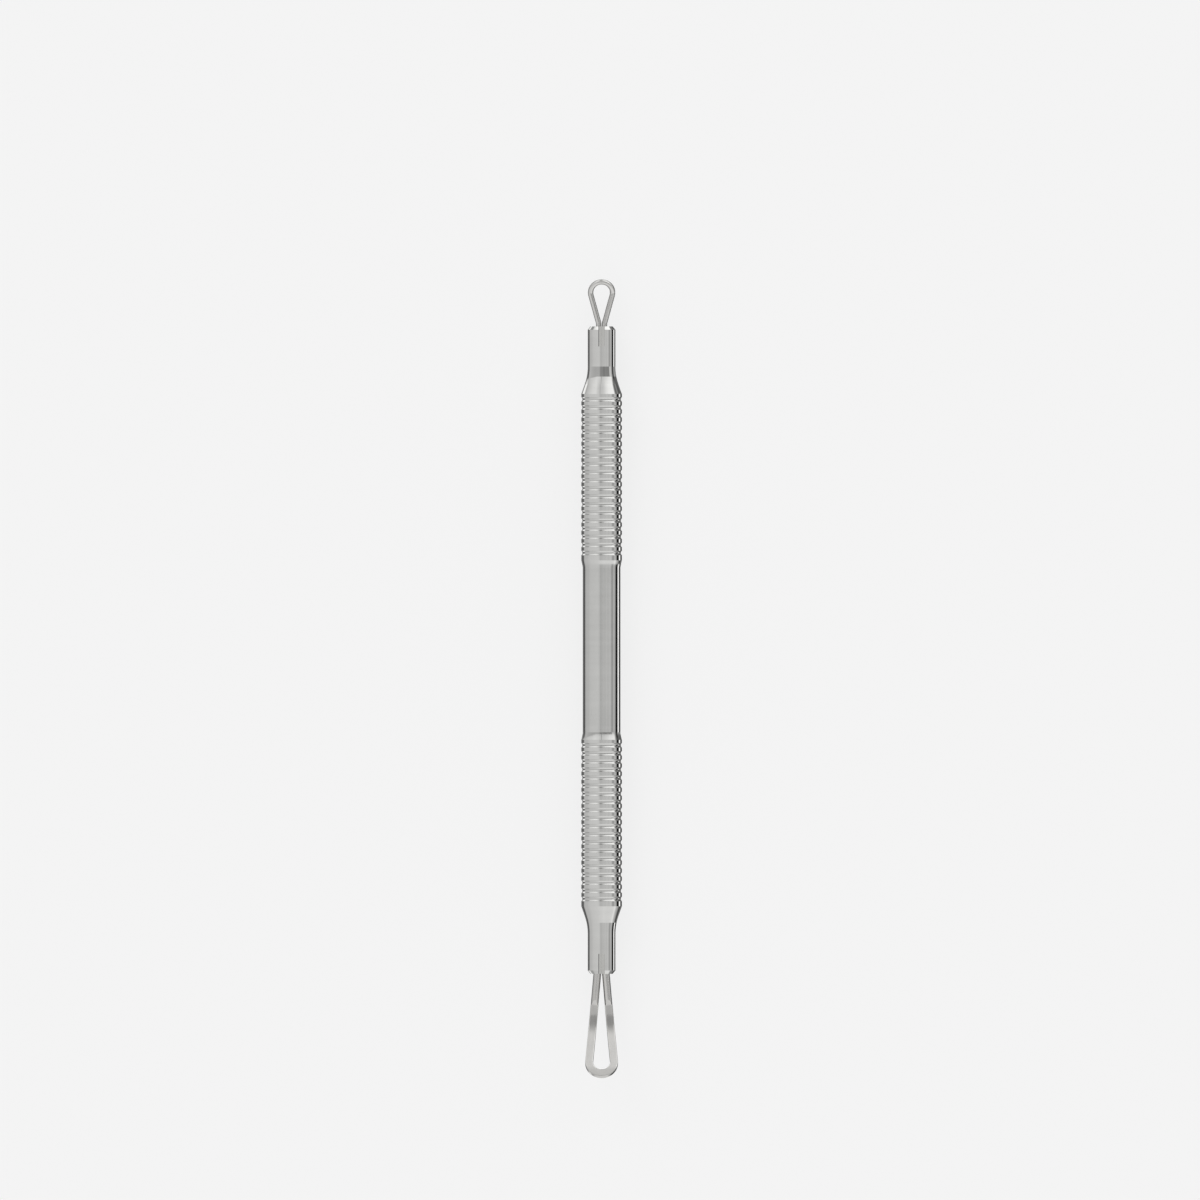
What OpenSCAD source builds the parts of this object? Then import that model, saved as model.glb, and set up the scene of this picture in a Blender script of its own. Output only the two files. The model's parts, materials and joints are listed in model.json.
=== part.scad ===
// Double-ended blackhead extractor, lying on its back along Y with the small loop at +Y.
// The origin is under the middle of the tool, on the surface that its ribbed grips rest on.

/* [Handle tube] */
// Diameter over the lands of the two ribbed grips
grip_d = 6.1; // [5.6:0.1:8]
// Length of each ribbed grip, from its socket to the waist
grip_len = 25; // [12:0.1:40]
// Length of the plain waist between its two blends
waist_len = 24.7; // [8:0.1:40]
// How far the waist lies below the lands
waist_depth = 0.225; // [0.1:0.025:0.4]
// Angle of the slope from the waist up to a land
waist_slope_angle = 12.6; // [8:0.2:30]
// Radius of the hollow blend from the waist into that slope
waist_blend_r = 1.2; // [0.4:0.1:6]
// Wall of the tube at the waist
tube_wall = 0.6; // [0.4:0.05:1]

/* [Grip grooves] */
// Distance from one groove to the next
groove_pitch = 1.215; // [0.8:0.005:3]
// Width of a groove at the surface
groove_w = 0.66; // [0.2:0.01:0.7]
// Depth of a groove
groove_depth = 0.16; // [0.05:0.01:0.25]
// Distance from the end of a grip nearer the small loop to the middle of its first groove
first_groove = 0.81; // [0.5:0.01:4]
// Least distance from the middle of the last groove to the other end of the grip
end_land = 0.8; // [0.5:0.05:4]

/* [Sockets] */
// Diameter of the neck at each end
neck_d = 4.15; // [3.8:0.05:5]
// Length of the straight neck, with its chamfer
neck_len = 6.03; // [4:0.01:12]
// Angle of the flare to the axis
flare_angle = 19.4; // [12:0.2:40]
// Radius of the hollow blend from the neck into the flare
flare_blend_r = 7.9; // [1:0.1:12]
// Length of the chamfer at the mouth
mouth_chamfer_len = 0.5; // [0.1:0.05:1]
// How far the chamfer cuts into the neck
mouth_chamfer_depth = 0.4; // [0.1:0.05:0.4]
// Length of the spigot that goes into the tube
spigot_len = 8; // [3:0.5:12]
// Clearance between spigot and tube, all round
spigot_clearance = 0.02; // [0.01:0.01:0.05]
// Chamfer on the inner end of the spigot
spigot_chamfer = 0.3; // [0.1:0.05:0.6]

/* [Brazed joints] */
// Length of wire held inside a socket
tail_len = 8; // [4:0.5:12]
// Thickness of the braze between a wire and the bore
braze_film = 0.08; // [0.05:0.01:0.12]
// Width of the feed slot sawn across the mouth
slot_w = 0.95; // [0.4:0.05:1.1]
// Length of the feed slot
slot_len = 3; // [1:0.1:3.5]
// How far the braze in the slot lies below the neck
slot_recess = 0.03; // [0.02:0.01:0.1]
// Angle of the drill point at the bottom of a bore
drill_point_angle = 118; // [90:1:135]

/* [Small loop] */
// Diameter of the small loop's wire
small_wire_d = 0.8; // [0.5:0.05:1.1]
// Outer radius of the small loop's end
small_end_r = 2.05; // [1.6:0.05:3]
// Gap between the tails of the small loop
small_tail_gap = 0.07; // [0.04:0.01:0.2]
// Distance from the mouth to where the small legs spread
small_leg_start = 0.35; // [0:0.05:1]
// Angle of each small leg to the axis
small_leg_angle = 15.4; // [8:0.2:30]
// Radius of the bend at the foot of each small leg
small_foot_bend_r = 0.8; // [0.6:0.1:2]
// Radius of the bend at each shoulder, where the leg turns back along the axis
small_shoulder_r = 0.6; // [0.56:0.02:2]
// Radius of the bend that folds the end up
small_fold_r = 0.6; // [0.56:0.02:2]
// Angle of the folded end
small_tilt = 20; // [5:1:45]

/* [Large loop] */
// Diameter of the large loop's wire
large_wire_d = 1.15; // [0.95:0.05:1.4]
// Outer radius of the large loop's end
large_end_r = 2.46; // [2.2:0.02:3.2]
// Gap between the tails of the large loop
large_tail_gap = 0.15; // [0.04:0.01:0.2]
// Angle of each large leg to the axis
large_leg_angle = 5.05; // [4:0.05:6.5]
// Radius of the bend at the foot of each large leg
large_foot_bend_r = 1.2; // [0.75:0.05:2]
// Length of each leg that stays round
round_leg_len = 3.9; // [2:0.05:6]
// Length of the ramp from the round wire down to the flat strip
ramp_len = 0.75; // [0.3:0.05:1.5]
// Length of flat strip before the bend
flat_len = 1.35; // [0.2:0.05:3]
// Thickness of the flat strip
strip_t = 0.8; // [0.5:0.05:0.85]
// How much wider the strip is than the wire
strip_spread = 0.04; // [0.02:0.01:0.2]
// Radius of the bend to the middle of the strip
bend_r = 9.5; // [2:0.1:12]
// Angle of the bent end
bend_angle = 27; // [5:1:40]

/* [Hidden] */

// Facets of a round shape on screen, and of the long blend in the flare
$fn = 72;
blend_fn = 360;
// A cut runs this far past the surface that it opens
past = 0.5;
// How far a folded piece runs into its neighbour
bite = 0.2;

tube_colour = [0.74, 0.74, 0.73];
socket_colour = [0.7, 0.7, 0.69];
wire_colour = [0.78, 0.78, 0.76];
braze_colour = [0.8, 0.78, 0.7];

// Tube
grip_r = grip_d / 2;
waist_r = grip_r - waist_depth;
tube_bore_r = waist_r - tube_wall;
// A blend may use up to this part of the rise of the slope that it leads into
blend_share = 0.95;
waist_r_blend = min(waist_blend_r, blend_share * waist_depth / (1 - cos(waist_slope_angle)));
waist_blend_rise = waist_r_blend * (1 - cos(waist_slope_angle));
waist_blend_len = waist_r_blend * sin(waist_slope_angle);
waist_slope_len = waist_blend_len + (waist_depth - waist_blend_rise) / tan(waist_slope_angle);
handle_len = 2 * grip_len + waist_len + 2 * waist_slope_len;
groove_count = floor((grip_len - first_groove - end_land) / groove_pitch) + 1;
groove_r = (pow(groove_w / 2, 2) + pow(groove_depth, 2)) / (2 * groove_depth);

// Socket, measured outward from the end of the tube
neck_r = neck_d / 2;
flare_rise = grip_r - neck_r;
flare_r = min(flare_blend_r, blend_share * flare_rise / (1 - cos(flare_angle)));
cone_rise = flare_rise - flare_r * (1 - cos(flare_angle));
cone_len = cone_rise / tan(flare_angle);
flare_len = cone_len + flare_r * sin(flare_angle);
socket_len = flare_len + neck_len;
spigot_r = tube_bore_r - spigot_clearance;

// Small loop, measured outward from the mouth of its socket
small_wire_r = small_wire_d / 2;
small_tail_x = small_wire_r + small_tail_gap / 2;
small_arc_r = small_end_r - small_wire_r;
small_bends_x = (small_foot_bend_r + small_shoulder_r) * (1 - cos(small_leg_angle));
small_leg_len = (small_arc_r - small_tail_x - small_bends_x) / sin(small_leg_angle);
small_shoulder_z = small_leg_start + small_leg_len * cos(small_leg_angle)
    + (small_foot_bend_r + small_shoulder_r) * sin(small_leg_angle);
small_reach = small_shoulder_z + small_fold_r * sin(small_tilt)
    + small_arc_r * cos(small_tilt) + small_wire_r;

// Large loop, measured outward from the mouth of its socket
large_wire_r = large_wire_d / 2;
large_tail_x = large_wire_r + large_tail_gap / 2;
strip_w = large_wire_d + strip_spread;
large_arc_r = large_end_r - strip_w / 2;
// Where the bend at the foot of a leg ends
leg_foot_x = large_tail_x + large_foot_bend_r * (1 - cos(large_leg_angle));
leg_foot_z = large_foot_bend_r * sin(large_leg_angle);
// Middle of the end arc, along the unbent loop
large_arc_s = leg_foot_z + (large_arc_r - leg_foot_x * cos(large_leg_angle)) / sin(large_leg_angle);
strip_start = round_leg_len + ramp_len;
bend_start = strip_start + flat_len;
bend_end = bend_start + bend_r * bend_angle * PI / 180;
// Where the bent end starts, up from the axis and out from the mouth
tilt_y = bend_r * (1 - cos(bend_angle));
tilt_z = bend_start + bend_r * sin(bend_angle);
bent_len = large_arc_s + large_end_r - bend_end;
large_reach = tilt_z + bent_len * cos(bend_angle) + strip_t / 2 * sin(bend_angle);

// The tool lies with the middle of its whole length over the origin
axis_z = grip_r;
handle_y = (large_reach - small_reach) / 2;
seat_y = handle_len / 2;
mouth_y = seat_y + socket_len;

// Turn a piece drawn outward along Z, with its upper side at +Y, to one end of the tool
module at_small_end(y) {
    translate([0, handle_y + y, axis_z])
        rotate([90, 0, 180])
            children();
}

module at_large_end(y) {
    translate([0, handle_y - y, axis_z])
        rotate([90, 0, 0])
            children();
}

module mirror_copy() {
    children();
    mirror([1, 0, 0])
        children();
}

// Tube

module waist_cut() {
    slope_top = waist_len / 2 + waist_slope_len + past / tan(waist_slope_angle);
    slope_foot = waist_len / 2 + waist_blend_len;
    polygon([
        [waist_r, -waist_len / 2],
        [waist_r, waist_len / 2],
        [waist_r + waist_blend_rise, slope_foot],
        [grip_r + past, slope_top],
        [grip_r + past, -slope_top],
        [waist_r + waist_blend_rise, -slope_foot]
    ]);
    for (side = [-1, 1])
        translate([waist_r + waist_r_blend, side * waist_len / 2])
            circle(waist_r_blend);
}

// Both grips are grooved from their end nearer the small loop
module groove_cuts() {
    for (grip_end = [handle_len / 2, -waist_len / 2 - waist_slope_len])
        for (i = [0 : groove_count - 1])
            translate([grip_r - groove_depth + groove_r, grip_end - first_groove - i * groove_pitch])
                circle(groove_r);
}

module grip_tube() {
    color(tube_colour)
        at_small_end(0)
            rotate_extrude()
                difference() {
                    translate([tube_bore_r, -handle_len / 2])
                        square([grip_r - tube_bore_r, handle_len]);
                    waist_cut();
                    groove_cuts();
                }
}

// Sockets

// Half section, with the hollow side of the flare cut by its blend
module socket_profile() {
    difference() {
        polygon([
            [0, -spigot_len],
            [spigot_r - spigot_chamfer, -spigot_len],
            [spigot_r, spigot_chamfer - spigot_len],
            [spigot_r, 0],
            [grip_r, 0],
            [grip_r - cone_rise, cone_len],
            [neck_r, flare_len],
            [neck_r, socket_len - mouth_chamfer_len],
            [neck_r - mouth_chamfer_depth, socket_len],
            [0, socket_len]
        ]);
        translate([neck_r + flare_r, flare_len])
            circle(flare_r, $fn = blend_fn);
    }
}

function bore_r(wire_r, tail_x) = tail_x + wire_r + braze_film;

module feed_slot() {
    translate([-slot_w / 2, -neck_r - past, -slot_len])
        cube([slot_w, neck_d + 2 * past, slot_len + past]);
}

module socket(wire_r, tail_x) {
    bore = bore_r(wire_r, tail_x);
    point_len = bore / tan(drill_point_angle / 2);
    difference() {
        rotate_extrude()
            socket_profile();
        translate([0, 0, socket_len - tail_len])
            cylinder(h = tail_len + past, r = bore);
        translate([0, 0, socket_len - tail_len - point_len])
            cylinder(h = point_len, r1 = 0, r2 = bore);
        translate([0, 0, socket_len])
            feed_slot();
    }
}

module small_loop_socket() {
    color(socket_colour)
        at_small_end(seat_y)
            socket(small_wire_r, small_tail_x);
}

module large_loop_socket() {
    color(socket_colour)
        at_large_end(seat_y)
            socket(large_wire_r, large_tail_x);
}

// Braze

module braze(wire_r, tail_x) {
    difference() {
        union() {
            translate([0, 0, -tail_len])
                cylinder(h = tail_len, r = bore_r(wire_r, tail_x));
            intersection() {
                translate([-slot_w / 2, -neck_r, -slot_len])
                    cube([slot_w, neck_d, slot_len]);
                translate([0, 0, -slot_len])
                    cylinder(h = slot_len, r = neck_r - slot_recess);
            }
        }
        mirror_copy()
            translate([tail_x, 0, -tail_len - past])
                cylinder(h = tail_len + 2 * past, r = wire_r);
    }
}

module small_loop_braze() {
    color(braze_colour)
        at_small_end(mouth_y)
            braze(small_wire_r, small_tail_x);
}

module large_loop_braze() {
    color(braze_colour)
        at_large_end(mouth_y)
            braze(large_wire_r, large_tail_x);
}

// Wire that runs straight along Z, with the next piece at its end
module run(wire_r, len) {
    cylinder(h = len, r = wire_r);
    translate([0, 0, len])
        children();
}

// Wire that bends from Z towards a direction square to it, with the next piece at its end
module bend(wire_r, radius, angle, towards) {
    turn = atan2(towards[1], towards[0]);
    rotate([0, 0, turn])
        translate([radius, 0, 0]) {
            rotate([-90, 180, 0])
                rotate_extrude(angle = angle)
                    translate([radius, 0])
                        circle(wire_r);
            rotate([0, angle, 0])
                translate([-radius, 0, 0])
                    rotate([0, 0, -turn])
                        children();
        }
}

// Directions from a right-hand leg
outward = [1, 0];
upward = [0, 1];
inward = [-1, 0];

// Small loop

// A leg followed from its tail up to the end arc, and one followed back down
module leg_up() {
    run(small_wire_r, tail_len + small_leg_start)
        bend(small_wire_r, small_foot_bend_r, small_leg_angle, outward)
            run(small_wire_r, small_leg_len)
                bend(small_wire_r, small_shoulder_r, small_leg_angle, inward)
                    bend(small_wire_r, small_fold_r, small_tilt, upward)
                        children();
}

module leg_down() {
    bend(small_wire_r, small_fold_r, small_tilt, upward)
        bend(small_wire_r, small_shoulder_r, small_leg_angle, inward)
            run(small_wire_r, small_leg_len)
                bend(small_wire_r, small_foot_bend_r, small_leg_angle, outward)
                    run(small_wire_r, tail_len + small_leg_start);
}

module small_loop() {
    color(wire_colour)
        at_small_end(mouth_y)
            translate([small_tail_x, 0, -tail_len])
                leg_up()
                    bend(small_wire_r, small_arc_r, 180, inward)
                        leg_down();
}

// Large loop

// The round leg is cut down by ramps above and below, which run on into the strip
module ramp_block() {
    slope = (large_wire_r - strip_t / 2) / ramp_len;
    top = large_wire_r + past;
    ramp_top = round_leg_len - past / slope;
    ramp_end = strip_start + bite;
    end_half = strip_t / 2 - bite * slope;
    rotate([90, 0, 90])
        linear_extrude(height = 2 * large_end_r)
            polygon([
                [-top, -past],
                [top, -past],
                [top, ramp_top],
                [end_half, ramp_end],
                [-end_half, ramp_end],
                [-top, ramp_top]
            ]);
}

module large_leg() {
    translate([large_tail_x, 0, -tail_len])
        run(large_wire_r, tail_len)
            bend(large_wire_r, large_foot_bend_r, large_leg_angle, outward);
    intersection() {
        translate([leg_foot_x, 0, leg_foot_z])
            rotate([0, large_leg_angle, 0])
                cylinder(h = strip_start + past, r = large_wire_r);
        ramp_block();
    }
}

// Distance along the bent end of a point at run s of the unbent leg
function tilted(s) =
    s > bend_start
        ? s - bend_end
        : (s - tilt_z) * cos(bend_angle) - tilt_y * sin(bend_angle);

// One edge of a leg, this far to the side of its middle
function leg_edge(side) = [
    for (s = [strip_start - past, bend_start, bend_end,
            large_arc_s - (large_arc_r + side) * sin(large_leg_angle)])
        [leg_foot_x + side / cos(large_leg_angle) + (s - leg_foot_z) * tan(large_leg_angle), tilted(s)]
];

function mirrored(points) = [for (i = [len(points) - 1 : -1 : 0]) [-points[i][0], points[i][1]]];

module teardrop(side) {
    edge = leg_edge(side);
    polygon(concat(edge, mirrored(edge)));
    translate([0, tilted(large_arc_s)])
        circle(large_arc_r + side);
}

module bent_sheet() {
    sheet_w = 2 * large_end_r + past;
    translate([-sheet_w / 2, -strip_t / 2, strip_start])
        cube([sheet_w, strip_t, flat_len]);
    translate([0, bend_r, bend_start])
        rotate([90, 0, -90])
            rotate_extrude(angle = bend_angle)
                translate([bend_r - strip_t / 2, -sheet_w / 2])
                    square([strip_t, sheet_w]);
    translate([0, tilt_y, tilt_z])
        rotate([-bend_angle, 0, 0])
            translate([-sheet_w / 2, -strip_t / 2, 0])
                cube([sheet_w, strip_t, bent_len + past]);
}

module large_strip() {
    intersection() {
        bent_sheet();
        translate([0, tilt_y, tilt_z])
            rotate([90 - bend_angle, 0, 0])
                linear_extrude(height = 2 * bent_len, center = true)
                    difference() {
                        teardrop(strip_w / 2);
                        teardrop(-strip_w / 2);
                    }
    }
}

module large_loop() {
    color(wire_colour)
        at_large_end(mouth_y) {
            mirror_copy()
                large_leg();
            large_strip();
        }
}

grip_tube();
small_loop_socket();
large_loop_socket();
small_loop();
large_loop();
small_loop_braze();
large_loop_braze();
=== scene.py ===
"""Studio view of a steel blackhead extractor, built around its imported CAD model."""
import json
import math

import bpy
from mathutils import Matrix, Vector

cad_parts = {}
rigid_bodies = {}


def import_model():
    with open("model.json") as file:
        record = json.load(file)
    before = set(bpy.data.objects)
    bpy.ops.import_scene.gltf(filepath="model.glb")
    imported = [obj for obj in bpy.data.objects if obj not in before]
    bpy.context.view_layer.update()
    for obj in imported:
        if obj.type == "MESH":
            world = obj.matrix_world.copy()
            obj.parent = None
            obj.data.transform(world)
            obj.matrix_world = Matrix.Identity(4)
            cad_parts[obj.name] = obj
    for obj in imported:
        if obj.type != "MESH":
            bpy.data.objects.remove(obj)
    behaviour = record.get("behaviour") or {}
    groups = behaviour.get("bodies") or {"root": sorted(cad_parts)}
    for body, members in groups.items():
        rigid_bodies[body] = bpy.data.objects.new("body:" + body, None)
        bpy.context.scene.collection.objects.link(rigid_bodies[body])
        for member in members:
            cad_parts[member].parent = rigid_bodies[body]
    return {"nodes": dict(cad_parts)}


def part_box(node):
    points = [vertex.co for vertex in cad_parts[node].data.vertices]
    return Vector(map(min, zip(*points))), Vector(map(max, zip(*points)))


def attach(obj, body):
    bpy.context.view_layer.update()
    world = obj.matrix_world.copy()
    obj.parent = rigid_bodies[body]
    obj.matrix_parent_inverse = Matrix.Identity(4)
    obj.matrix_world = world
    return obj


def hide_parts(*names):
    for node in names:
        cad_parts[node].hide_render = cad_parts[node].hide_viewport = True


for leftover in list(bpy.data.objects):
    bpy.data.objects.remove(leftover)

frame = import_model()
bpy.context.view_layer.update()

MM = 0.001

# Handle tube, in millimetres as in the part's source
GRIP_R = 3.05
WAIST_DEPTH = 0.225
WAIST_LEN = 24.7
WAIST_SLOPE_ANGLE = math.radians(12.6)
WAIST_BLEND_R = 1.2
# The turned slopes are very slightly hollow, by this share of their angle each way
WAIST_HOLLOW = 0.14
TUBE_WALL = 0.6
GRIP_LEN = 25.0
GROOVE_COUNT = 20
GROOVE_PITCH = 1.215
GROOVE_W = 0.66
GROOVE_DEPTH = 0.16
FIRST_GROOVE = 0.81
# The polished edge of each groove, which the solids leave sharp
LIP_R = 0.03

# Wire loops, measured outward from the mouth of their sockets
TAIL_LEN = 8.0
SLOT_W = 0.95
SMALL_WIRE_R = 0.4
SMALL_TAIL_X = 0.435
SMALL_LEG_START = 0.35
SMALL_LEG_ANGLE = math.radians(15.4)
SMALL_FOOT_BEND_R = 0.8
SMALL_SHOULDER_R = 0.6
SMALL_FOLD_R = 0.6
SMALL_TILT = math.radians(20)
SMALL_ARC_R = 1.643
LARGE_WIRE_R = 0.575
LARGE_TAIL_X = 0.65
LARGE_LEG_ANGLE = math.radians(5.05)
LARGE_FOOT_BEND_R = 1.2
ROUND_LEG_LEN = 3.9
RAMP_LEN = 0.75
FLAT_LEN = 1.35
STRIP_HALF_T = 0.4
STRIP_HALF_W = 0.595
STRIP_EDGE_R = 0.14
LARGE_ARC_R = 1.865
BEND_R = 9.5
BEND_ANGLE = math.radians(27)

# Where the large loop's leg turns from round wire to strip, and where the strip bends
STRIP_START = ROUND_LEG_LEN + RAMP_LEN
BEND_START = STRIP_START + FLAT_LEN
BEND_END = BEND_START + BEND_R * BEND_ANGLE
# The strip takes its true section over this length
STRIP_SETTLE = 0.12
# The round wire is cut flat at this share of its radius, so that its points match the strip's.
# Past the cut's edge, the next point lies at this share of its half width.
ROUND_CUT = 0.9985
CUT_EDGE = 0.97

# Sides of the tube and the round wire, and steps along the curves
TUBE_SIDES = 60
LIP_STEPS = 3
BOWL_STEPS = 10
BLEND_STEPS = 6
SLOPE_STEPS = 8
WIRE_SIDES = 40
SMALL_ARC_STEPS = 72
LARGE_ARC_STEPS = 96
RAMP_STEPS = 8
BEND_STEPS = 24
QUARTER_STEPS = 8
# Points this close in a section, and rings this close along a wire, keep the flat stretches
# beside them flat in the shading
POINT_GAP = 0.012
RING_GAP = 0.02
# Edges that turn more than this are shaded sharp
SHARP_ANGLE = math.radians(18)

TUBE_LOW, TUBE_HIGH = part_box("grip_tube")
HANDLE_Y = (TUBE_LOW.y + TUBE_HIGH.y) / 2 / MM
HANDLE_HALF = (TUBE_HIGH.y - TUBE_LOW.y) / 2 / MM
AXIS_Z = GRIP_R
SMALL_MOUTH_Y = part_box("small_loop_socket")[1].y / MM
LARGE_MOUTH_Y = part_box("large_loop_socket")[0].y / MM
LARGE_TIP_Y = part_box("large_loop")[0].y / MM

# Camera, square to the tool, in metres
VIEW_WIDTH = 0.1803
VIEW_CENTRE = (-0.00024, HANDLE_Y * MM + 0.00753)
VIEW_HEIGHT = 0.5
VIEW_CLIP = (0.01, 5)

# Pale backdrop, the floor with half its width in metres, and the lamp for the faint shadow
BACKDROP = (0.9047, 0.9047, 0.9047, 1)
FLOOR_HALF = 3.0
FLOOR_COLOUR = (0.2, 0.2, 0.2, 1)
FLOOR_GLOW = 0.7515
LAMP_STRENGTH = 0.3
LAMP_ANGLE = math.radians(30)
LAMP_TURN = (math.radians(-40), math.radians(-38), 0)

# Levels that a round bar mirrors upward, by share of its radius from its left edge to its right.
# Bare is where it lies level, panel and over where it faces towards the small loop, under where
# it faces away.
LEVEL_BARE = [
    (-0.94, 0.18), (-0.925, 0.08), (-0.885, 0.12), (-0.87, 0.48), (-0.8, 0.62), (-0.7, 0.62),
    (-0.64, 0.68), (-0.54, 0.71), (-0.22, 0.74), (-0.12, 0.7), (-0.08, 0.57), (0, 0.59),
    (0.1, 0.64), (0.2, 0.63), (0.26, 0.68), (0.34, 0.63), (0.44, 0.69), (0.5, 0.62),
    (0.53, 0.42), (0.6, 0.4), (0.625, 0.58), (0.66, 0.6), (0.69, 0.59), (0.71, 0.45),
    (0.745, 0.26), (0.755, 0), (0.828, 0), (0.845, 0.3), (0.858, 0.4), (0.862, 1.4),
    (0.912, 1.4), (0.92, 0.05)]
LEVEL_PANEL = [
    (-0.94, 0.22), (-0.93, 0.1), (-0.885, 0.12), (-0.87, 0.48), (-0.79, 0.62), (-0.72, 0.56),
    (-0.44, 0.5), (-0.22, 0.52), (-0.12, 0.46), (-0.085, 0.31), (0.06, 0.32), (0.12, 0.27),
    (0.2, 0.26), (0.28, 0.31), (0.35, 0.29), (0.53, 0.29), (0.55, 0.7), (0.64, 0.77),
    (0.69, 0.55), (0.74, 0.3), (0.755, 0.03), (0.815, 0.03), (0.83, 0.3), (0.86, 0.4),
    (0.9, 0.45), (0.93, 0.3)]
LEVEL_OVER = [
    (-0.92, 0.2), (-0.88, 0.41), (-0.81, 0.66), (-0.68, 0.76), (-0.475, 0.8), (-0.34, 0.885),
    (-0.14, 0.83), (-0.07, 0.72), (-0.019, 0.72), (-0.015, 0.38), (0.01, 0.38), (0.014, 0.74),
    (0.13, 0.77), (0.2, 0.83), (0.33, 0.9), (0.4, 1), (0.53, 1.05), (0.64, 1.1), (0.67, 0.95),
    (0.695, 0.5), (0.735, 0.3), (0.76, 0.05), (0.83, 0.05), (0.85, 0.2), (0.93, 0.14)]
LEVEL_OVER_STEEP = [
    (-0.95, 0.3), (-0.93, 1.3), (-0.85, 1.1), (-0.82, 0.48), (-0.75, 0.66), (-0.6, 0.8),
    (-0.48, 0.9), (-0.3, 0.95), (-0.2, 0.8), (-0.12, 0.72), (-0.07, 0.58), (-0.03, 0.72),
    (0, 0.72), (0.06, 0.74), (0.15, 0.85), (0.25, 1), (0.37, 1.13), (0.53, 1.18), (0.62, 1.2),
    (0.66, 0.6), (0.68, 0.3), (0.74, 0.14), (0.79, 0.36), (0.846, 0.14), (0.9, 0.1),
    (0.95, 0.18)]
LEVEL_OVER_GROOVE = [
    (-0.95, 0.3), (-0.93, 1.3), (-0.85, 1.1), (-0.82, 0.4), (-0.65, 0.32), (-0.6, 0.8),
    (-0.48, 1.1), (-0.3, 1.35), (-0.2, 1.15), (-0.11, 0.5), (-0.07, 0.2), (-0.01, 0.2),
    (0.05, 0.6), (0.12, 0.95), (0.2, 1.25), (0.53, 1.4), (0.63, 1.3), (0.67, 0.6),
    (0.69, 0.32), (0.74, 0.14), (0.79, 0.36), (0.846, 0.14), (0.9, 0.1), (0.95, 0.18)]
LEVEL_UNDER = [
    (-0.94, 0.18), (-0.925, 0.08), (-0.885, 0.12), (-0.87, 0.48), (-0.8, 0.62), (-0.7, 0.62),
    (-0.54, 0.71), (-0.22, 0.76), (-0.08, 0.8), (0, 0.81), (0.1, 0.85), (0.3, 0.83),
    (0.5, 0.85), (0.6, 0.88), (0.66, 1), (0.69, 0.95), (0.73, 0.68), (0.79, 0.5),
    (0.83, 0.36), (0.87, 0.1), (0.92, 0.06), (0.95, 0.2)]
LEVEL_UNDER_STEEP = [
    (-0.95, 0.3), (-0.93, 1.2), (-0.86, 1), (-0.84, 0.5), (-0.8, 0.44), (-0.65, 0.42),
    (-0.6, 0.64), (-0.35, 0.7), (-0.2, 0.78), (-0.08, 0.88), (0, 0.9), (0.58, 0.95),
    (0.63, 0.45), (0.72, 0.3), (0.83, 0.28), (0.88, 0.08), (0.93, 0.15)]
LEVEL_UNDER_FAR = [(0, 0.98), (1, 1)]
# Each level with the slopes, in degrees, between which it comes in over the one before
ZONES = [
    (LEVEL_PANEL, (0.55, 0.85)),
    (LEVEL_OVER, (10.9, 11.2)),
    (LEVEL_OVER_STEEP, (12.5, 19)),
    (LEVEL_OVER_GROOVE, (29.5, 32)),
    (LEVEL_UNDER, (-11.8, -12.3)),
    (LEVEL_UNDER_STEEP, (-20, -26)),
    (LEVEL_UNDER_FAR, (-48, -56))]
# The panel's far edge slants away on the left, between these shares and by this many degrees
SLANT_SHARES = (-0.3, -0.93)
SLANT_DEGREES = 3.0

# Steel's colours, and how rough each way of working leaves it
HANDLE_COLOUR = (0.725, 0.724, 0.708)
SOCKET_COLOUR = (0.722, 0.72, 0.704)
WIRE_COLOUR = (0.75, 0.742, 0.722)
STRIP_COLOUR = (0.76, 0.75, 0.728)
BRAZE_COLOUR = (0.75, 0.745, 0.72)
TURNED_ROUGH = 0.035
DRAWN_ROUGH = 0.12
CAST_ROUGH = 0.08
# How much lighter and darker its waves make it
STREAK = 0.025
DRAWN_STREAK = 0.06
# Depth of the fine marks and of the waves, in metres
MARK_DEPTH = 1.2e-8
WAVE_DEPTH = 4e-7
CAST_WAVE_DEPTH = 1.2e-6
# Radii at which the grooves' dullness and painted shade are full, and at which they end
GROOVE_SHADE_R = (2.88, 2.98)
# The satin face, with its painted sheen, comes in over this length each way, and the tip's painted
# shade begins and is full at these lengths from the loop's end
SATIN_EDGE = 0.05
TIP_SHADE = (1.9, 1.3)
# Where the painted shade ends and where it is full, inward from the left and the right edge of the
# slot
SLOT_SHADE_LEFT = (0.16, 0.06)
SLOT_SHADE_RIGHT = (0.1, 0.03)


# Node trees


def node_of(tree, kind, **values):
    """A new node with these attributes."""
    node = tree.nodes.new(kind)
    for key, value in values.items():
        setattr(node, key, value)
    return node


def feed(tree, socket, value):
    """Links a socket, or sets it to a constant."""
    if isinstance(value, bpy.types.NodeSocket):
        tree.links.new(value, socket)
    else:
        socket.default_value = value


def math_op(tree, operation, *values):
    """One step of arithmetic."""
    node = node_of(tree, "ShaderNodeMath", operation=operation)
    for socket, value in zip(node.inputs, values):
        feed(tree, socket, value)
    return node.outputs[0]


def added(tree, value, mask, amount):
    """A value with this much added where the mask is full."""
    return math_op(tree, "MULTIPLY_ADD", mask, amount, value)


def mix_colour(tree, factor, a, b):
    """From one colour to another, by a factor."""
    node = node_of(tree, "ShaderNodeMix", data_type="RGBA")
    feed(tree, node.inputs[0], factor)
    feed(tree, node.inputs[6], a)
    feed(tree, node.inputs[7], b)
    return node.outputs[2]


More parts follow.
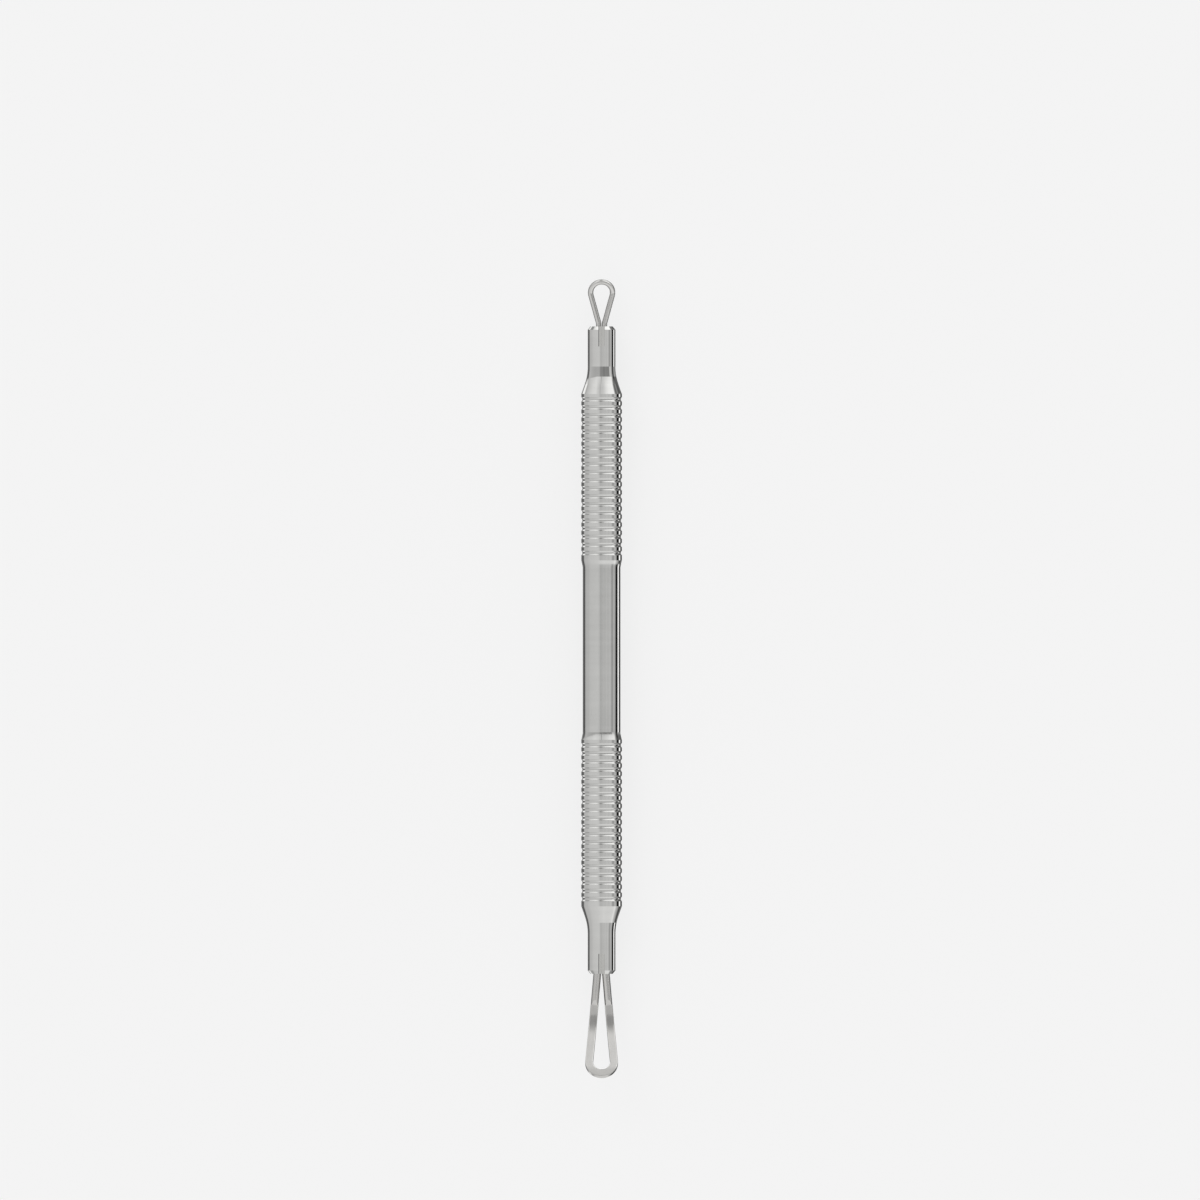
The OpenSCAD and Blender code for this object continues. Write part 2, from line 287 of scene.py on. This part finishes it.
def remap(tree, value, low, high, out_low, out_high):
    """A value's range stretched to another, and held at its ends."""
    node = node_of(tree, "ShaderNodeMapRange")
    for socket, number in zip(node.inputs, (value, low, high, out_low, out_high)):
        feed(tree, socket, number)
    return node.outputs[0]


def split(tree, vector):
    """The x, y and z of a vector."""
    node = node_of(tree, "ShaderNodeSeparateXYZ")
    feed(tree, node.inputs[0], vector)
    return node.outputs


def ramp(tree, value, stops):
    """Grey levels along a value from 0 to 1, as (place, level) pairs."""
    node = node_of(tree, "ShaderNodeValToRGB")
    feed(tree, node.inputs[0], value)
    elements = node.color_ramp.elements
    while len(elements) < len(stops):
        elements.new(0.5)
    for element, (place, level) in zip(elements, stops):
        element.position = place
        element.color = (level, level, level, 1)
    return node.outputs[0]


# Studio


def across(share):
    """Ramp place of what a round bar mirrors upward, at this share of its radius from its middle."""
    return 0.5 + math.asin(share) / math.pi


def sloped(degrees):
    """Ramp place of what a surface mirrors upward, when it leans this much to the small loop."""
    return 0.5 + degrees / 180


def mirror_places(tree):
    """Ramp places of the mirror that sends a direction straight up: its turn and its slope."""
    direction = node_of(tree, "ShaderNodeTexCoord").outputs["Generated"]
    halfway = node_of(tree, "ShaderNodeVectorMath", operation="ADD")
    feed(tree, halfway.inputs[0], direction)
    halfway.inputs[1].default_value = (0, 0, 1)
    facing = node_of(tree, "ShaderNodeVectorMath", operation="NORMALIZE")
    feed(tree, facing.inputs[0], halfway.outputs[0])
    x, y, z = split(tree, facing.outputs[0])
    turn = math_op(tree, "ARCTAN2", x, z)
    slope = math_op(tree, "ARCSINE", y)
    return [math_op(tree, "MULTIPLY_ADD", angle, 1 / math.pi, 0.5) for angle in (turn, slope)]


def bar_level(tree, turn, stops):
    """The levels of one table, laid out by the turn of what mirrors them."""
    return ramp(tree, turn, [(across(share), level) for share, level in stops])


def studio_level(tree):
    """Soft panels all round the tool, laid out by how a surface must face to mirror them upward."""
    turn, slope = mirror_places(tree)
    first, last = SLANT_SHARES
    slant = remap(tree, turn, across(first), across(last), 0.0, SLANT_DEGREES / 180)
    level = bar_level(tree, turn, LEVEL_BARE)
    for stops, (begin, full) in ZONES:
        height = math_op(tree, "SUBTRACT", slope, slant) if stops is LEVEL_OVER else slope
        shown = remap(tree, height, sloped(begin), sloped(full), 0.0, 1.0)
        level = mix_colour(tree, shown, level, bar_level(tree, turn, stops))
    return level


def make_world():
    """The studio, which the camera itself sees as a plain backdrop."""
    world = bpy.data.worlds.new("studio")
    bpy.context.scene.world = world
    world.use_nodes = True
    tree = world.node_tree
    tree.nodes.clear()
    seen = node_of(tree, "ShaderNodeLightPath").outputs["Is Camera Ray"]
    colour = mix_colour(tree, seen, studio_level(tree), BACKDROP)
    back = node_of(tree, "ShaderNodeBackground")
    feed(tree, back.inputs[0], colour)
    out = node_of(tree, "ShaderNodeOutputWorld")
    feed(tree, out.inputs[0], back.outputs[0])


def floor_material():
    """A matt face for the shadow, and a glow that only the camera sees."""
    material = bpy.data.materials.new("floor")
    material.use_nodes = True
    tree = material.node_tree
    tree.nodes.clear()
    matt = node_of(tree, "ShaderNodeBsdfDiffuse")
    matt.inputs[0].default_value = FLOOR_COLOUR
    glow = node_of(tree, "ShaderNodeEmission")
    glow.inputs[0].default_value = (1, 1, 1, 1)
    seen = node_of(tree, "ShaderNodeLightPath").outputs["Is Camera Ray"]
    feed(tree, glow.inputs[1], math_op(tree, "MULTIPLY", seen, FLOOR_GLOW))
    both = node_of(tree, "ShaderNodeAddShader")
    feed(tree, both.inputs[0], matt.outputs[0])
    feed(tree, both.inputs[1], glow.outputs[0])
    out = node_of(tree, "ShaderNodeOutputMaterial")
    feed(tree, out.inputs[0], both.outputs[0])
    return material


def make_floor():
    """A wide pale floor, which the steel doesn't mirror."""
    half = FLOOR_HALF
    mesh = bpy.data.meshes.new("floor")
    mesh.from_pydata(
        [(-half, -half, 0), (half, -half, 0), (half, half, 0), (-half, half, 0)],
        [], [(0, 1, 2, 3)])
    mesh.materials.append(floor_material())
    floor = bpy.data.objects.new("floor", mesh)
    bpy.context.scene.collection.objects.link(floor)
    floor.visible_glossy = False


def make_lamp():
    """A wide soft lamp from the upper left, for the faint shadow. The steel doesn't mirror it."""
    lamp = bpy.data.lights.new("soft_lamp", "SUN")
    lamp.energy = LAMP_STRENGTH
    lamp.angle = LAMP_ANGLE
    holder = bpy.data.objects.new("soft_lamp", lamp)
    holder.rotation_euler = LAMP_TURN
    holder.visible_glossy = False
    bpy.context.scene.collection.objects.link(holder)


def make_camera():
    """A camera that looks straight down, without perspective."""
    camera = bpy.data.cameras.new("camera")
    camera.type = "ORTHO"
    camera.ortho_scale = VIEW_WIDTH
    camera.clip_start, camera.clip_end = VIEW_CLIP
    holder = bpy.data.objects.new("camera", camera)
    holder.location = (*VIEW_CENTRE, VIEW_HEIGHT)
    bpy.context.scene.collection.objects.link(holder)
    bpy.context.scene.camera = holder


# Meshes


def make_piece(name, points, faces, uvs, replaced):
    """A smooth mesh from points in millimetres, with its path coordinates, in place of a node."""
    mesh = bpy.data.meshes.new(name)
    mesh.from_pydata([[value * MM for value in point] for point in points], [], faces)
    mesh.polygons.foreach_set("use_smooth", [True] * len(faces))
    layer = mesh.uv_layers.new(name="path")
    for loop, uv in zip(layer.data, uvs):
        loop.uv = uv
    mesh.set_sharp_from_angle(angle=SHARP_ANGLE)
    piece = bpy.data.objects.new(name, mesh)
    bpy.context.scene.collection.objects.link(piece)
    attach(piece, "root")
    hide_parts(replaced)
    return piece


def arc(centre, radius, start, end, steps):
    """Points on a circle, from one angle to another."""
    spots = []
    for i in range(steps + 1):
        angle = start + (end - start) * i / steps
        spots.append((centre[0] + radius * math.cos(angle), centre[1] + radius * math.sin(angle)))
    return spots


# Handle tube. Its profiles are (radius, y) points, followed down the handle.


def groove_profile(middle):
    """A groove, with a small polished round at each lip."""
    groove_r = (GROOVE_W ** 2 / 4 + GROOVE_DEPTH ** 2) / (2 * GROOVE_DEPTH)
    centre_r = GRIP_R - GROOVE_DEPTH + groove_r
    lip_y = math.sqrt((groove_r + LIP_R) ** 2 - (centre_r - GRIP_R + LIP_R) ** 2)
    lean = math.asin(lip_y / (groove_r + LIP_R))
    high = arc((GRIP_R - LIP_R, middle + lip_y), LIP_R, 0, -lean, LIP_STEPS)
    bowl = arc((centre_r, middle), groove_r, math.pi - lean, math.pi + lean, BOWL_STEPS)
    low = arc((GRIP_R - LIP_R, middle - lip_y), LIP_R, lean, 0, LIP_STEPS)
    return high + bowl[1:-1] + low


def grip_profile(grip_end):
    """All grooves of a grip, from its upper end."""
    grooves = []
    for i in range(GROOVE_COUNT):
        grooves += groove_profile(grip_end - FIRST_GROOVE - i * GROOVE_PITCH)
    return grooves


def waist_profile():
    """The waist with its blends and slopes."""
    waist_r = GRIP_R - WAIST_DEPTH
    angle = WAIST_SLOPE_ANGLE
    blend_centre = (waist_r + WAIST_BLEND_R, -WAIST_LEN / 2)
    blend = arc(blend_centre, WAIST_BLEND_R, math.pi, math.pi + angle, BLEND_STEPS)
    rise = WAIST_DEPTH - WAIST_BLEND_R * (1 - math.cos(angle))
    foot = WAIST_LEN / 2 + WAIST_BLEND_R * math.sin(angle)
    top = foot + rise / math.tan(angle)
    slope = []
    for i in range(1, SLOPE_STEPS):
        share = i / SLOPE_STEPS
        sag = WAIST_HOLLOW * math.tan(angle) * (top - foot) * share * (1 - share)
        slope.append((GRIP_R - rise * (1 - share) - sag, -foot - (top - foot) * share))
    lip = LIP_R * math.tan(angle / 2)
    crest = arc((GRIP_R - LIP_R, -top - lip), LIP_R, angle, 0, LIP_STEPS)
    half = blend + slope + crest
    return [(radius, -y) for radius, y in reversed(half)] + half


def tube_outline():
    """The tube's whole section, down its outside and back up its bore."""
    top = HANDLE_HALF
    bore_r = GRIP_R - WAIST_DEPTH - TUBE_WALL
    outside = grip_profile(top) + waist_profile() + grip_profile(GRIP_LEN - top)
    return [(GRIP_R, top)] + outside + [(GRIP_R, -top), (bore_r, -top), (bore_r, top)]


def close_spot(spot, other):
    """A point a gap away towards another, or none where the two are close already."""
    distance = math.hypot(other[0] - spot[0], other[1] - spot[1])
    if distance <= 4 * POINT_GAP:
        return []
    share = POINT_GAP / distance
    return [(spot[0] + (other[0] - spot[0]) * share, spot[1] + (other[1] - spot[1]) * share)]


def with_close_rings(outline):
    """An outline with a close pair of points at each end of its long stretches."""
    profile = []
    for i, spot in enumerate(outline):
        before = outline[i - 1]
        after = outline[(i + 1) % len(outline)]
        profile += close_spot(spot, before) + [spot] + close_spot(spot, after)
    return profile


def make_tube():
    """The ribbed tube with its waist, turned about its axis."""
    profile = with_close_rings(tube_outline())
    count = TUBE_SIDES
    points = []
    for radius, y in profile:
        for k in range(count):
            angle = 2 * math.pi * k / count
            x = radius * math.sin(angle)
            points.append((x, HANDLE_Y + y, AXIS_Z + radius * math.cos(angle)))
    faces = []
    uvs = []
    for i in range(len(profile)):
        j = (i + 1) % len(profile)
        low = profile[i][1] / GRIP_R
        high = profile[j][1] / GRIP_R
        for k in range(count):
            m = (k + 1) % count
            faces.append((i * count + k, j * count + k, j * count + m, i * count + m))
            left = k / count
            right = (k + 1) / count
            uvs += [(left, low), (left, high), (right, high), (right, low)]
    return make_piece("handle_tube", points, faces, uvs, "grip_tube")


# Wire loops. Each is laid out in a flat sheet, which is then folded.


def sweep(name, stations, replaced):
    """A wire from stations, each a length and a ring of points, with a flat cap at each end."""
    count = len(stations[0][1])
    points = [point for length, ring in stations for point in ring]
    faces = []
    uvs = []
    for i in range(len(stations) - 1):
        j = i + 1
        low = stations[i][0]
        high = stations[j][0]
        for k in range(count):
            m = (k + 1) % count
            faces.append((i * count + k, i * count + m, j * count + m, j * count + k))
            left = k / count
            right = (k + 1) / count
            uvs += [(left, low), (right, low), (right, high), (left, high)]
    last = (len(stations) - 1) * count
    for cap in (range(count - 1, -1, -1), range(last, last + count)):
        faces.append(tuple(cap))
        uvs += [(0, 0)] * count
    return make_piece(name, points, faces, uvs, replaced)


def plane_path(tail_x, steps):
    """Walks a wire from a tail in its flat sheet. A step is a kind, length or angle, radius, count."""
    x = tail_x
    run = -TAIL_LEN
    heading = 0.0
    travelled = 0.0
    spots = [(x, run, heading, travelled)]
    for kind, size, radius, count in steps:
        part = size / count
        for i in range(count):
            if kind == "straight":
                x += part * math.sin(heading)
                run += part * math.cos(heading)
                travelled += part
            else:
                reach = math.copysign(radius, part)
                centre_x = x + reach * math.cos(heading)
                centre_run = run - reach * math.sin(heading)
                heading += part
                x = centre_x - reach * math.cos(heading)
                run = centre_run + reach * math.sin(heading)
                travelled += abs(part) * radius
            spots.append((x, run, heading, travelled))
    return spots


def fold_point(x, run, height, start, radius, angle):
    """Where a point of the flat sheet goes, when the sheet is folded up past a start."""
    turned = min(max(run - start, 0) / radius, angle)
    out = min(run, start) + radius * math.sin(turned)
    up = radius * (1 - math.cos(turned))
    rest = max(run - start - radius * angle, 0)
    out += rest * math.cos(angle) - height * math.sin(turned)
    up += rest * math.sin(angle) + height * math.cos(turned)
    return x, out, up


def folded_ring(spot, section, fold):
    """A wire's section, set square to its path at a spot and folded with the sheet."""
    x, run, heading = spot[:3]
    ring = []
    for side, height in section:
        ring_x = x + side * math.cos(heading)
        ring_run = run - side * math.sin(heading)
        ring.append(fold_point(ring_x, ring_run, height, *fold))
    return ring


def circle_section(radius):
    """The section of a round wire."""
    angles = [2 * math.pi * k / WIRE_SIDES for k in range(WIRE_SIDES)]
    return [(radius * math.cos(angle), radius * math.sin(angle)) for angle in angles]


def make_small_loop():
    """The small teardrop of round wire, with its end folded up."""
    foot = SMALL_FOOT_BEND_R
    shoulder = SMALL_SHOULDER_R
    bends_x = (foot + shoulder) * (1 - math.cos(SMALL_LEG_ANGLE))
    leg_len = (SMALL_ARC_R - SMALL_TAIL_X - bends_x) / math.sin(SMALL_LEG_ANGLE)
    up = [
        ("straight", TAIL_LEN + SMALL_LEG_START, 0, 6),
        ("bend", SMALL_LEG_ANGLE, foot, 8),
        ("straight", leg_len, 0, 10),
        ("bend", -SMALL_LEG_ANGLE, shoulder, 8),
        ("straight", SMALL_FOLD_R * SMALL_TILT, 0, 8)]
    end = [("bend", -math.pi, SMALL_ARC_R, SMALL_ARC_STEPS)]
    fold_start = SMALL_LEG_START + leg_len * math.cos(SMALL_LEG_ANGLE)
    fold_start += (foot + shoulder) * math.sin(SMALL_LEG_ANGLE)
    fold = (fold_start, SMALL_FOLD_R, SMALL_TILT)
    section = circle_section(SMALL_WIRE_R)
    stations = []
    for spot in plane_path(SMALL_TAIL_X, up + end + up[::-1]):
        ring = folded_ring(spot, section, fold)
        stations.append((spot[3], [(-x, SMALL_MOUTH_Y + out, AXIS_Z + lift) for x, out, lift in ring]))
    return sweep("small_wire_loop", stations, "small_loop")


def strip_quarter():
    """One quarter of the flattened wire's section, from its edge to the middle of its face."""
    centre = (STRIP_HALF_W - STRIP_EDGE_R, STRIP_HALF_T - STRIP_EDGE_R)
    side = [(STRIP_HALF_W, 0), (STRIP_HALF_W, centre[1] / 2)]
    edge = arc(centre, STRIP_EDGE_R, 0, math.pi / 2, QUARTER_STEPS - len(side))
    near = centre[0] - POINT_GAP
    return side + edge + [(near * share, STRIP_HALF_T) for share in (1, 0.5, 0)]


def round_quarter(height):
    """The same quarter of the round wire's section, cut flat at a height."""
    lean = math.asin(min(height, ROUND_CUT * LARGE_WIRE_R) / LARGE_WIRE_R)
    spots = arc((0, 0), LARGE_WIRE_R, 0, lean, QUARTER_STEPS)
    edge, top = spots[-1]
    return spots + [(edge * share, top) for share in (CUT_EDGE, 0.5, 0)]


def full_section(quarter):
    """All four quarters, once round."""
    right = quarter[:-1]
    left = [(-side, height) for side, height in reversed(quarter)][:-1]
    spots = right + left
    return spots + [(-side, -height) for side, height in spots]


def large_section(run):
    """The large wire's section at a distance: round, then pressed flatter, then a strip."""
    ramped = min(max((run - ROUND_LEG_LEN) / RAMP_LEN, 0), 1)
    height = LARGE_WIRE_R + (STRIP_HALF_T - LARGE_WIRE_R) * ramped
    settled = min(max((run - STRIP_START) / STRIP_SETTLE, 0), 1)
    section = []
    for (a, b), (c, d) in zip(full_section(round_quarter(height)), full_section(strip_quarter())):
        section.append((a + (c - a) * settled, b + (d - b) * settled))
    return section


def leg_steps(leg_start, leg_end):
    """The large loop's leg in straight steps, close together where its section changes."""
    settled = STRIP_START + STRIP_SETTLE
    marks = [leg_start, ROUND_LEG_LEN - RING_GAP, ROUND_LEG_LEN]
    marks += [ROUND_LEG_LEN + RAMP_LEN * i / RAMP_STEPS for i in range(1, RAMP_STEPS)]
    marks += [STRIP_START - RING_GAP, STRIP_START, settled, settled + RING_GAP]
    marks += [BEND_START + (BEND_END - BEND_START) * i / BEND_STEPS for i in range(BEND_STEPS + 1)]
    marks += [leg_end]
    lengths = [(b - a) / math.cos(LARGE_LEG_ANGLE) for a, b in zip(marks, marks[1:])]
    return [("straight", length, 0, 1) for length in lengths]


def make_large_loop():
    """The large loop, rolled flat a short way out of the mouth and then bent up."""
    foot_x = LARGE_TAIL_X + LARGE_FOOT_BEND_R * (1 - math.cos(LARGE_LEG_ANGLE))
    foot_run = LARGE_FOOT_BEND_R * math.sin(LARGE_LEG_ANGLE)
    reach = LARGE_ARC_R - foot_x * math.cos(LARGE_LEG_ANGLE)
    arc_run = foot_run + reach / math.sin(LARGE_LEG_ANGLE)
    leg_end = arc_run - LARGE_ARC_R * math.sin(LARGE_LEG_ANGLE)
    up = [
        ("straight", TAIL_LEN, 0, 4),
        ("bend", LARGE_LEG_ANGLE, LARGE_FOOT_BEND_R, 4)]
    up += leg_steps(foot_run, leg_end)
    end = [("bend", -math.pi - 2 * LARGE_LEG_ANGLE, LARGE_ARC_R, LARGE_ARC_STEPS)]
    fold = (BEND_START, BEND_R, BEND_ANGLE)
    stations = []
    for spot in plane_path(LARGE_TAIL_X, up + end + up[::-1]):
        ring = folded_ring(spot, large_section(spot[1]), fold)
        stations.append((spot[3], [(x, LARGE_MOUTH_Y - out, AXIS_Z + lift) for x, out, lift in ring]))
    return sweep("large_wire_loop", stations, "large_loop")


# Materials


def noise(tree, place, scale, detail, roughness):
    """Cloudy noise from 0 to 1."""
    node = node_of(tree, "ShaderNodeTexNoise")
    feed(tree, node.inputs["Vector"], place)
    node.inputs["Scale"].default_value = scale
    node.inputs["Detail"].default_value = detail
    node.inputs["Roughness"].default_value = roughness
    return node.outputs[0]


def stretched(tree, place, scale, turn=(0, 0, 0)):
    """Coordinates turned, and stretched by a scale on each axis."""
    node = node_of(tree, "ShaderNodeMapping")
    feed(tree, node.inputs["Vector"], place)
    node.inputs["Rotation"].default_value = turn
    node.inputs["Scale"].default_value = scale
    return node.outputs[0]


def hairlines(tree, place, turn, fineness, length, share):
    """A thin mask of long fine scratches, all one way."""
    scale = (fineness, 1 / length, fineness)
    lines = noise(tree, stretched(tree, place, scale, turn), 1.0, 2.0, 0.5)
    return remap(tree, lines, 1 - share, 1 - share + 0.03, 0.0, 1.0)


def bump(tree, height, distance, normal=None):
    """A normal tilted by a height map of this depth, over another normal."""
    node = node_of(tree, "ShaderNodeBump")
    node.inputs["Strength"].default_value = 1
    feed(tree, node.inputs["Height"], height)
    node.inputs["Distance"].default_value = distance
    if normal is not None:
        feed(tree, node.inputs["Normal"], normal)
    return node.outputs[0]


def new_steel(name):
    """A new material, its tree, and coordinates that are fixed to the tool."""
    material = bpy.data.materials.new(name)
    material.use_nodes = True
    tree = material.node_tree
    return material, tree, node_of(tree, "ShaderNodeTexCoord").outputs["Object"]


def turned_marks(tree, place):
    """Fine marks and broad waves that run round the axis."""
    marks = noise(tree, stretched(tree, place, (150, 30000, 150)), 1.0, 4.0, 0.7)
    waves = noise(tree, stretched(tree, place, (60, 900, 60)), 1.0, 2.0, 0.5)
    return marks, waves


def drawn_marks(tree):
    """Fine marks and broad waves that run along the wire."""
    path = node_of(tree, "ShaderNodeUVMap", uv_map="path").outputs[0]
    marks = noise(tree, stretched(tree, path, (90, 0.4, 1)), 1.0, 4.0, 0.7)
    waves = noise(tree, stretched(tree, path, (9, 0.25, 1)), 1.0, 2.0, 0.5)
    return marks, waves


def cast_marks(tree, place):
    """Fine grain and broad waves that run no one way."""
    marks = noise(tree, place, 25000, 4.0, 0.7)
    waves = noise(tree, place, 2500, 3.0, 0.6)
    return marks, waves


def polish(tree, place, marks, waves, roughness, streak):
    """Roughness and shade of polished steel, with its smudges and hairline scratches."""
    smudge = noise(tree, place, 260, 3.0, 0.6)
    scratch = math_op(
        tree, "MAXIMUM",
        hairlines(tree, place, (0.3, 0.2, 0.6), 9000, 0.003, 0.3),
        hairlines(tree, place, (-0.4, 0.5, -0.9), 7000, 0.004, 0.28))
    rough = remap(tree, smudge, 0.35, 0.7, roughness * 0.85, roughness * 1.25)
    rough = added(tree, rough, marks, roughness * 0.3)
    rough = added(tree, rough, scratch, 0.04)
    shade = remap(tree, waves, 0.3, 0.7, 1 - streak, 1 + streak)
    shade = math_op(tree, "MULTIPLY", shade, remap(tree, smudge, 0.3, 0.75, 1.01, 0.97))
    shade = added(tree, shade, scratch, -0.03)
    return rough, shade


def groove_dullness_and_shade(tree, place):
    """A mask of the groove bottoms, which are made rougher and darkened with painted shade."""
    parts = split(tree, place)
    side = parts[0]
    up = math_op(tree, "SUBTRACT", parts[2], AXIS_Z * MM)
    side_squared = math_op(tree, "MULTIPLY", side, side)
    up_squared = math_op(tree, "MULTIPLY", up, up)
    reach = math_op(tree, "SQRT", math_op(tree, "ADD", side_squared, up_squared))
    return remap(tree, reach, GROOVE_SHADE_R[0] * MM, GROOVE_SHADE_R[1] * MM, 1.0, 0.0)


def slot_edge_shade(tree, place):
    """Masks of painted shade along the slot's left and right edge; the left one is a painted shadow.
    """
    x = split(tree, place)[0]
    edge = SLOT_W / 2
    ends, full = SLOT_SHADE_LEFT
    left = remap(tree, x, (full - edge) * MM, (ends - edge) * MM, 1.0, 0.0)
    ends, full = SLOT_SHADE_RIGHT
    right = remap(tree, x, (edge - ends) * MM, (edge - full) * MM, 0.0, 1.0)
    return left, right


def rolled_face_and_tip_shade(tree, place):
    """Masks of the strip's rolled satin face, which gets painted sheen, and of its tip, which gets
    painted shade.
    """
    along = split(tree, place)[1]
    strip_y = LARGE_MOUTH_Y - STRIP_START
    edge = SATIN_EDGE
    rolled_and_sheen = remap(tree, along, (strip_y + edge) * MM, (strip_y - edge) * MM, 0.0, 1.0)
    begin, full = TIP_SHADE
    tip_shade = remap(tree, along, (LARGE_TIP_Y + begin) * MM, (LARGE_TIP_Y + full) * MM, 0.0, 1.0)
    return rolled_and_sheen, tip_shade


def buff_with_flank_shade(tree):
    """Buffs a wire lengthwise, which blurs its reflections that way. Gives painted shade that darkens
    its flanks where they turn from the view.
    """
    shader = tree.nodes["Principled BSDF"]
    shader.inputs["Anisotropic"].default_value = 1
    shader.inputs["Anisotropic Rotation"].default_value = 0.25
    way = node_of(tree, "ShaderNodeTangent", direction_type="UV_MAP", uv_map="path")
    feed(tree, shader.inputs["Tangent"], way.outputs[0])
    facing = node_of(tree, "ShaderNodeLayerWeight")
    facing.inputs["Blend"].default_value = 0.5
    # Painted shade: darker where the surface turns away from the view
    return remap(tree, facing.outputs["Facing"], 0.15, 0.5, 1.0, 0.55)


def finish_steel(tree, colour, rough, shade, marks, waves, wave_depth):
    """Joins colour, roughness and relief to the shader."""
    shader = tree.nodes["Principled BSDF"]
    tint = node_of(tree, "ShaderNodeMix", data_type="RGBA", blend_type="MULTIPLY")
    tint.inputs[0].default_value = 1
    tint.inputs[6].default_value = (*colour, 1)
    feed(tree, tint.inputs[7], shade)
    feed(tree, shader.inputs["Base Color"], tint.outputs[2])
    feed(tree, shader.inputs["Roughness"], rough)
    shader.inputs["Metallic"].default_value = 1
    normal = bump(tree, waves, wave_depth)
    feed(tree, shader.inputs["Normal"], bump(tree, marks, MARK_DEPTH, normal))


def handle_polish():
    """Turned steel, with painted shade that makes the grooves darker than the crests of the grips."""
    material, tree, place = new_steel("handle_polish")
    marks, waves = turned_marks(tree, place)
    rough, shade = polish(tree, place, marks, waves, TURNED_ROUGH, STREAK)
    groove_dull_shade = groove_dullness_and_shade(tree, place)
    # The groove bottoms are rougher, and darkened with painted shade
    rough = added(tree, rough, groove_dull_shade, 0.04)
    shade = added(tree, shade, groove_dull_shade, -0.05)
    finish_steel(tree, HANDLE_COLOUR, rough, shade, marks, waves, WAVE_DEPTH)
    return material


def socket_polish():
    """Turned steel for both sockets."""
    material, tree, place = new_steel("socket_polish")
    marks, waves = turned_marks(tree, place)
    rough, shade = polish(tree, place, marks, waves, TURNED_ROUGH, STREAK)
    finish_steel(tree, SOCKET_COLOUR, rough, shade, marks, waves, WAVE_DEPTH)
    return material


def wire_polish():
    """Drawn wire, buffed along its length, with painted shade on its flanks."""
    material, tree, place = new_steel("wire_polish")
    marks, waves = drawn_marks(tree)
    rough, shade = polish(tree, place, marks, waves, DRAWN_ROUGH, DRAWN_STREAK)
    # Painted shade on the wire's flanks
    shade = math_op(tree, "MULTIPLY", shade, buff_with_flank_shade(tree))
    finish_steel(tree, WIRE_COLOUR, rough, shade, marks, waves, WAVE_DEPTH)
    return material


def wire_satin():
    """The same wire with a rolled strip: painted sheen on the strip, painted shade on its tip, and
    only half the painted flank shade on the strip.
    """
    material, tree, place = new_steel("wire_satin")
    marks, waves = drawn_marks(tree)
    rough, shade = polish(tree, place, marks, waves, DRAWN_ROUGH, DRAWN_STREAK)
    rolled_and_sheen, tip_shade = rolled_face_and_tip_shade(tree, place)
    rough = added(tree, rough, rolled_and_sheen, -0.05)
    # Painted sheen lightens the rolled strip, and painted shade darkens its tip
    shade = added(tree, shade, rolled_and_sheen, 0.06)
    shade = added(tree, shade, tip_shade, -0.16)
    # Painted flank shade, halved on the rolled strip
    flank_shade = buff_with_flank_shade(tree)
    strip_flank_shade = math_op(tree, "MULTIPLY_ADD", flank_shade, 0.5, 0.5)
    shade = math_op(tree, "MULTIPLY", shade, remap(tree, rolled_and_sheen, 0.0, 1.0, flank_shade, strip_flank_shade))
    finish_steel(tree, STRIP_COLOUR, rough, shade, marks, waves, WAVE_DEPTH)
    return material


def silver_braze():
    """Braze with painted shade along its slot's edges: a dark painted shadow on the left, fainter
    shade on the right.
    """
    material, tree, place = new_steel("silver_braze")
    marks, waves = cast_marks(tree, place)
    rough, shade = polish(tree, place, marks, waves, CAST_ROUGH, STREAK)
    left, right = slot_edge_shade(tree, place)
    rough = added(tree, rough, left, 0.15)
    # Painted shadow along the slot's left edge, and fainter painted shade along its right edge
    shade = added(tree, shade, left, -0.75)
    shade = added(tree, shade, right, -0.12)
    finish_steel(tree, BRAZE_COLOUR, rough, shade, marks, waves, CAST_WAVE_DEPTH)
    return material


make_camera()
make_world()
make_floor()
make_lamp()

make_tube().data.materials.append(handle_polish())
make_small_loop().data.materials.append(wire_polish())
make_large_loop().data.materials.append(wire_satin())

socket_steel = socket_polish()
braze = silver_braze()
for name, look in (
        ("small_loop_socket", socket_steel), ("large_loop_socket", socket_steel),
        ("small_loop_braze", braze), ("large_loop_braze", braze)):
    frame["nodes"][name].material_slots[0].material = look

bpy.context.scene.view_settings.view_transform = "Standard"
bpy.context.view_layer.update()
